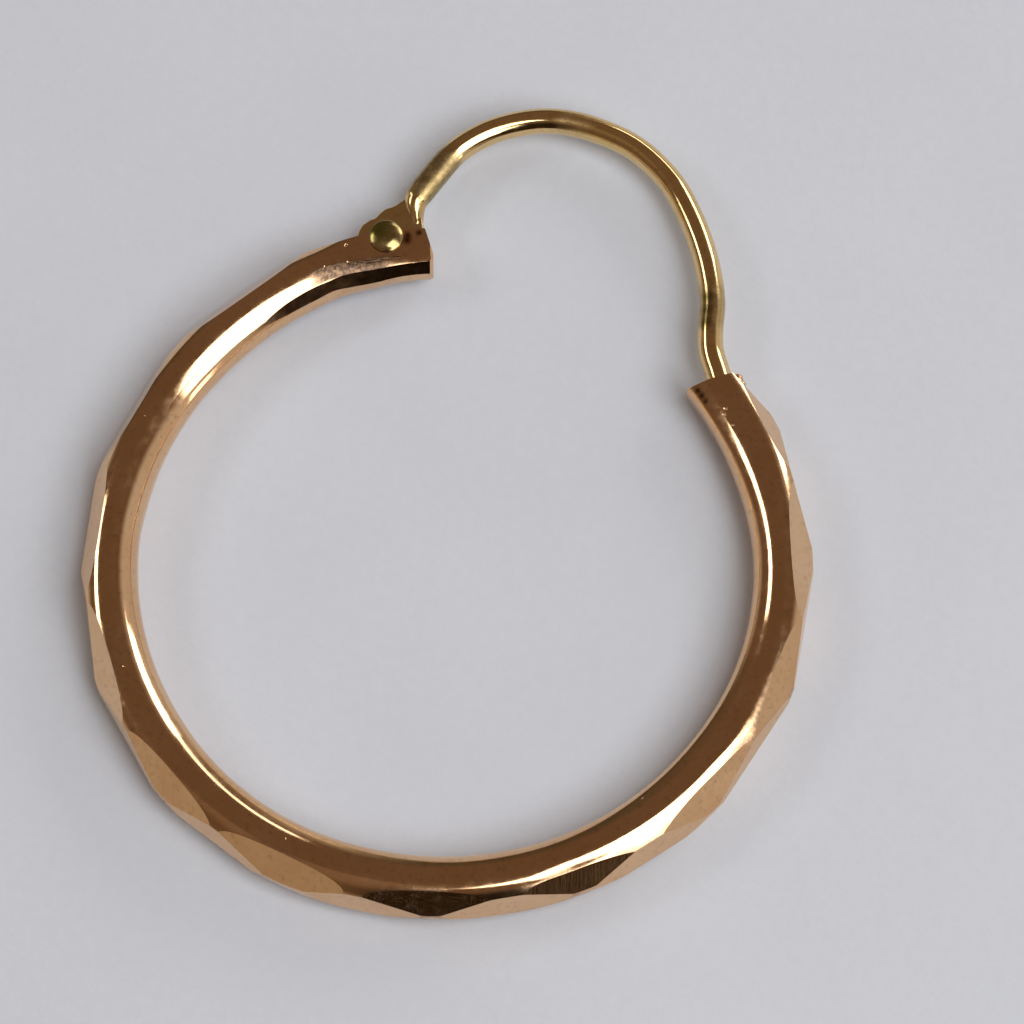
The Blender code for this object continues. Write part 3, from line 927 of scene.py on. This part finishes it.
def set_tube_normals(mesh):
    """Exact normals of the round surface, the flats, the bevels, the pits and the burrs."""
    points = np.array([(vert.co - CENTRE) / MM for vert in mesh.vertices])
    angles, turns = surface_place(points)
    exact = surface_normals(angles, turns)
    off = np.linalg.norm(points - surface(angles, turns), axis=1)
    off_bevel, bevel = bevel_normals(points)
    planes = [(np.array(normal), offset) for normal, offset in flat_planes()]
    balls = [(np.array(centre), radius) for centre, radius in pit_balls() + burr_balls()]
    normals = np.zeros((len(mesh.loops), 3))
    on_flat = np.zeros(len(mesh.polygons), np.float32)
    on_bevel = np.zeros(len(mesh.polygons), np.float32)
    for face in mesh.polygons:
        face.use_smooth = True
        corners = np.array(face.vertices)
        loops = list(face.loop_indices)
        normal = np.array(face.normal)
        middle = points[corners].mean(axis=0)
        normals[loops] = normal
        if any(normal @ way > 0.99999 and abs(middle @ way - offset) < 0.0005 for way, offset in planes):
            azimuth = math.degrees(math.atan2(normal[1], normal[0]))
            on_flat[face.index] = np.interp(azimuth, *zip(*FLAT_PITTING))
            continue
        if off_bevel[corners].max() < 0.0015 and (bevel[corners] @ normal).min() > 0.9:
            normals[loops] = bevel[corners]
            on_bevel[face.index] = 1.0
            continue
        if off[corners].max() < 0.004 and (exact[corners] @ normal).min() > 0.8:
            normals[loops] = exact[corners]
            continue
        for centre, radius in balls:
            if abs(np.linalg.norm(points[corners] - centre, axis=1) - radius).max() < 0.02 * radius:
                radial = (points[corners] - centre) / radius
                normals[loops] = radial * math.copysign(1.0, float(radial.mean(axis=0) @ normal))
    mesh.normals_split_custom_set([tuple(normal) for normal in normals])
    paint(mesh, "flat", "FACE", on_flat)
    depth = np.min([offset - points @ way for way, offset in planes], axis=0)
    shoulder_wear_and_shade = worn_and_shaded_shoulder(angles, turns)
    edge_wear = worn_edges(angles, depth)
    # Darker colour: the dull strip beside the hinge bevel is partly tarnish and partly painted shade dimming its
    # highlight; the worn flat edges are darker where worn.
    tarnish_and_shade = np.maximum(shoulder_wear_and_shade, 0.8 * edge_wear)
    worn = np.maximum(edge_wear, 1.6 * shoulder_wear_and_shade)
    for centre, radius in burr_balls():
        worn = np.maximum(worn, np.linalg.norm(points - np.array(centre), axis=1) < 1.01 * radius)
    corners = np.array([corner for face in mesh.polygons for corner in face.vertices])
    flat, bevelled = [
        np.array([part[face.index] for face in mesh.polygons for _ in face.vertices]) for part in (on_flat, on_bevel)
    ]
    plain = np.maximum(flat, bevelled) > 0.0
    paint(mesh, "wear", "CORNER", np.where(plain, 0.0, worn[corners]))
    # Painted shade on the hinge bevel faces, darkening what they mirror; elsewhere tarnish and painted shade as
    # above.
    paint(mesh, "tarnish_and_shade", "CORNER", np.where(plain, 0.6 * bevelled, tarnish_and_shade[corners]))


def paint(mesh, name, domain, values):
    attribute = mesh.attributes.new(name, "FLOAT", domain)
    attribute.data.foreach_set("value", np.asarray(values, np.float32))


# How deeply the flats are pitted, by azimuth.
FLAT_PITTING = [
    # azimuth, amount
    (-110.0, 1.0),
    (-96.0, 10.0),
    (-86.0, 10.0),
    (-72.0, 6.0),
    (-66.0, 6.0),
    (-50.0, 1.0),
]

# Stretches of the flats' edges that wear has left rough.
WEAR = [
    # from ring angle, to ring angle, amount
    (-38.0, -24.0, 1.0),
    (-26.0, -12.0, 0.8),
    (-63.0, -49.0, 0.9),
    (-84.0, -66.0, 0.5),
    (-104.0, -88.0, 0.7),
    (-170.0, -156.0, 0.5),
    (-126.0, -112.0, 0.4),
    (4.0, 16.0, 0.4),
]


def worn_edges(angles, depth):
    amount = np.zeros(len(angles))
    for start, stop, size in WEAR:
        here = smooth((angles - start) / 4.0) * smooth((stop - angles) / 4.0)
        amount = np.maximum(amount, size * here)
    return amount * smooth(1.0 - depth / 0.09)


def worn_and_shaded_shoulder(angles, turns):
    """The dull strip beside the hinge bevel, where the flattening began; it is rougher and darker, the darkening
    partly tarnish and partly painted shade.
    """
    lean = np.abs(np.degrees(turns))
    along = smooth((-244.0 - angles) / 3.0) * smooth((angles + 262.0) / 5.0)
    return along * smooth((lean - 95.0) / 7.0) * smooth((128.0 - lean) / 5.0)


def make_hoop(material):
    hoop = object_from(make_hoop_mesh(), "hoop")
    cut_with(hoop, make_hoop_cutters())
    join(hoop, make_balls("burrs", burr_balls()))
    set_tube_normals(hoop.data)
    hoop.data.materials.clear()
    hoop.data.materials.append(material)
    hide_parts("hoop_tube")
    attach(hoop, "hoop")


def smooth_route(points, count):
    """Evenly spread points on a Catmull-Rom curve through the given ones."""
    ends = [2.0 * points[0] - points[1]] + list(points) + [2.0 * points[-1] - points[-2]]
    fine = []
    for before, start, stop, after in zip(ends, ends[1:], ends[2:], ends[3:]):
        for step in np.linspace(0.0, 1.0, 24, endpoint=False):
            along = 0.5 * (
                2.0 * start
                + (stop - before) * step
                + (2.0 * before - 5.0 * start + 4.0 * stop - after) * step ** 2
                + (3.0 * start - before - 3.0 * stop + after) * step ** 3
            )
            fine.append(along)
    fine.append(points[-1])
    fine = np.array(fine)
    walked = np.concatenate([[0.0], np.cumsum(np.linalg.norm(np.diff(fine, axis=0), axis=1))])
    spots = np.linspace(0.0, walked[-1], count)
    route = np.stack([np.interp(spots, walked, fine[:, axis]) for axis in range(fine.shape[1])], axis=1)
    return route, spots


# Stretches of the ear wire that are scuffed dull and darkened, the darkening partly tarnish and partly painted shade
# that dims their highlights.
WIRE_WEAR_AND_SHADE = [
    # from and to, as distances along the wire, scuffing, and tarnish with painted shade
    (-0.15, 2.25, 1.5, 0.75),
    (5.3, 7.0, 0.8, 0.1),
    (13.2, 15.2, 0.7, 0.4),
]


def scuff(mesh):
    """Paints the dull stretches of the wire on its mesh, and their darkening of tarnish and painted shade."""
    route, walked = smooth_route([np.array(point) for point in WIRE_ROUTE], WIRE_POINTS)
    spots = np.array([(vert.co - CENTRE) / MM for vert in mesh.vertices])[:, :2]
    nearest = np.array([np.argmin(np.hypot(*(route - spot).T)) for spot in spots])
    along = walked[nearest]
    amount = np.zeros((2, len(spots)))
    for start, stop, *sizes in WIRE_WEAR_AND_SHADE:
        here = smooth((along - start) / 0.5) * smooth((stop - along) / 0.6)
        amount = np.maximum(amount, np.outer(sizes, here))
    paint(mesh, "wear", "POINT", amount[0])
    paint(mesh, "tarnish_and_shade", "POINT", amount[1])


def make_wire_rod():
    route, walked = smooth_route([np.array(point) for point in WIRE_ROUTE], WIRE_POINTS)
    left = walked[-1] - walked
    neck = WIRE_NECK_RADIUS + (WIRE_RADIUS - WIRE_NECK_RADIUS) * smooth(walked / WIRE_NECK_LENGTH)
    begun = np.clip(walked / WIRE_START_ROUNDING, 0.0, 1.0)
    ended = np.clip(left / WIRE_TIP_LENGTH, 0.0, 1.0)
    radii = neck - 0.14 * (1.0 - np.sqrt(1.0 - (1.0 - begun) ** 2))
    rounded = WIRE_TIP_RADIUS + (WIRE_RADIUS - WIRE_TIP_RADIUS) * np.sqrt(1.0 - (1.0 - ended) ** 2)
    radii = np.minimum(radii, rounded)
    hammered = smooth((WIRE_HAMMERED_TO - walked) / (WIRE_HAMMERED_TO - WIRE_HAMMERED_FROM))
    powers = 2.0 / (2.0 + (WIRE_HAMMERED - 2.0) * hammered)
    return object_from(make_rod(route, radii, WIRE_SIDES, powers), "wire")


def make_tab():
    """The flat tab with rounded edges, from rings drawn inside one another."""
    top, _ = smooth_route([np.array(point) for point in TAB_OUTLINE], 90)
    outline = np.array(arc(EYE_RADIUS, 143.0, 337.0, 70) + list(top)) + np.array(PIVOT)
    ahead = np.roll(outline, -1, axis=0) - np.roll(outline, 1, axis=0)
    outward = np.stack([ahead[:, 1], -ahead[:, 0]], axis=1)
    outward /= np.linalg.norm(outward, axis=1, keepdims=True)
    bm = bmesh.new()
    rings = []
    for side in (-1.0, 1.0):
        for turn in np.radians(np.linspace(90.0, 0.0, 6) if side < 0.0 else np.linspace(0.0, 90.0, 6)):
            inset = outline - outward * TAB_ROUNDING * (1.0 - math.cos(turn))
            level = side * (0.5 * TAB_THICKNESS - TAB_ROUNDING * (1.0 - math.sin(turn)))
            rings.append([bm.verts.new((x, y, level)) for x, y in inset])
    for first, second in zip(rings, rings[1:]):
        for this in range(len(outline)):
            after = (this + 1) % len(outline)
            bm.faces.new((first[this], first[after], second[after], second[this]))
    bm.faces.new(rings[0])
    bm.faces.new(rings[-1])
    bmesh.ops.recalc_face_normals(bm, faces=bm.faces[:])
    return object_from(bm, "tab")


def hang_normals(obj):
    """Smooth shading that keeps flat faces flat and sharp edges crisp."""
    obj.data.shade_smooth()
    obj.data.set_sharp_from_angle(angle=math.radians(38.0))
    modifier = obj.modifiers.new("weighted", "WEIGHTED_NORMAL")
    modifier.mode = "FACE_AREA"
    modifier.weight = 60
    modifier.keep_sharp = True
    apply_modifiers(obj)


def make_ear_wire(material):
    wire = make_wire_rod()
    ridge, _ = smooth_route([np.array(point) for point in TAB_RIDGE], 60)
    ridge = object_from(make_rod(ridge, ridge[:, 2], 32), "ridge")
    cut_with(wire, [make_tab(), ridge], "UNION")
    cut_with(wire, [make_prism("hole", arc(PIN_HOLE_RADIUS, 0.0, 352.5, 48), 4.0, PIVOT)])
    hang_normals(wire)
    scuff(wire.data)
    wire.data.materials.clear()
    wire.data.materials.append(material)
    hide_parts("ear_wire")
    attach(wire, "ear_wire")


def make_rivet(material):
    """The pin and its two domed heads, turned from one profile."""
    seat = FLAT_HALF_HEIGHT + HEAD_GAP
    flank = HEAD_RADIUS - HEAD_EDGE
    profile = []
    for reach in np.linspace(0.0, flank, 26):
        rise = HEAD_HEIGHT * (1.0 - (float(reach) / flank) ** HEAD_POWER)
        profile.append((float(reach), seat + HEAD_EDGE + rise))
    brow = profile[-1][1]
    for turn in np.radians(np.linspace(40.0, 0.0, 6)):
        profile.append((flank + HEAD_EDGE * math.cos(turn), brow - HEAD_EDGE * (1.0 - math.sin(turn))))
    profile += [(HEAD_RADIUS - 0.01, seat), (PIN_RADIUS, seat)]
    profile += [(reach, -height) for reach, height in reversed(profile)]
    bm = bmesh.new()
    sides = 96
    rings = []
    for reach, height in profile:
        if reach == 0.0:
            rings.append([bm.verts.new((*PIVOT, height))] * sides)
            continue
        turns = [2.0 * math.pi * side / sides for side in range(sides)]
        rings.append(
            [bm.verts.new((PIVOT[0] + reach * math.cos(turn), PIVOT[1] + reach * math.sin(turn), height)) for turn in turns]
        )
    for first, second in zip(rings, rings[1:]):
        for side in range(sides):
            after = (side + 1) % sides
            corners = [first[side], first[after], second[after], second[side]]
            bm.faces.new(list(dict.fromkeys(corners)))
    bmesh.ops.recalc_face_normals(bm, faces=bm.faces[:])
    rivet = object_from(bm, "rivet")
    hang_normals(rivet)
    rivet.data.materials.append(material)
    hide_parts("hinge_rivet")
    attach(rivet, "hoop")


make_camera()
make_lights()
make_world()
make_floor()
pivot = Vector((*PIVOT, 0.0))
hoop_gold = gold(
    "hoop_rose_gold", (0.80, 0.525, 0.31), (0.76, 0.48, 0.27), (0.10, 0.066, 0.048), 0.10,
    [
        # Painted shadow: dark red under the rivet head's rim and in the gap at the tab's end.
        (CENTRE / MM + pivot + Vector((0.64, -0.12, 0.58)), 0.24, (0.13, 0.04, 0.02)),
        (CENTRE / MM + pivot + Vector((0.66, 0.04, 0.58)), 0.20, (0.16, 0.05, 0.03)),
        (CENTRE / MM + pivot + Vector((1.01, 0.13, 0.58)), 0.16, (0.10, 0.05, 0.03)),
        # Painted shade in the dark crescent just inside the mouth.
        (CENTRE / MM + Vector((7.68, 5.42, 0.50)), 0.16, (0.10, 0.05, 0.02)),
        (CENTRE / MM + Vector((7.80, 5.26, 0.50)), 0.17, (0.08, 0.04, 0.02)),
        (CENTRE / MM + Vector((7.92, 5.08, 0.48)), 0.15, (0.12, 0.06, 0.03)),
    ],
)
wire_gold = gold(
    "wire_yellow_gold", (0.83, 0.60, 0.30), (0.78, 0.56, 0.25), (0.15, 0.12, 0.055), 0.11,
    [
        # Painted shade: dark olive on the wire's inner side, where a highlight would otherwise run.
        (CENTRE / MM + Vector((8.00, 8.55, 0.36)), 0.38, (0.15, 0.12, 0.035)),
        (CENTRE / MM + Vector((7.96, 8.14, 0.36)), 0.38, (0.15, 0.12, 0.035)),
        (CENTRE / MM + Vector((7.93, 7.74, 0.36)), 0.38, (0.15, 0.12, 0.035)),
    ],
)
rivet_gold = gold(
    "rivet_gold", (0.44, 0.335, 0.15), (0.38, 0.285, 0.12), (0.2, 0.15, 0.08), 0.20,
    # Painted shade: the upper left of the head made dark olive.
    [((CENTRE / MM + pivot + Vector((-0.25, 0.18, 0.72))), 0.62, (0.22, 0.23, 0.05))],
)
make_hoop(hoop_gold)
make_ear_wire(wire_gold)
make_rivet(rivet_gold)

bpy.context.scene.view_settings.view_transform = "Standard"
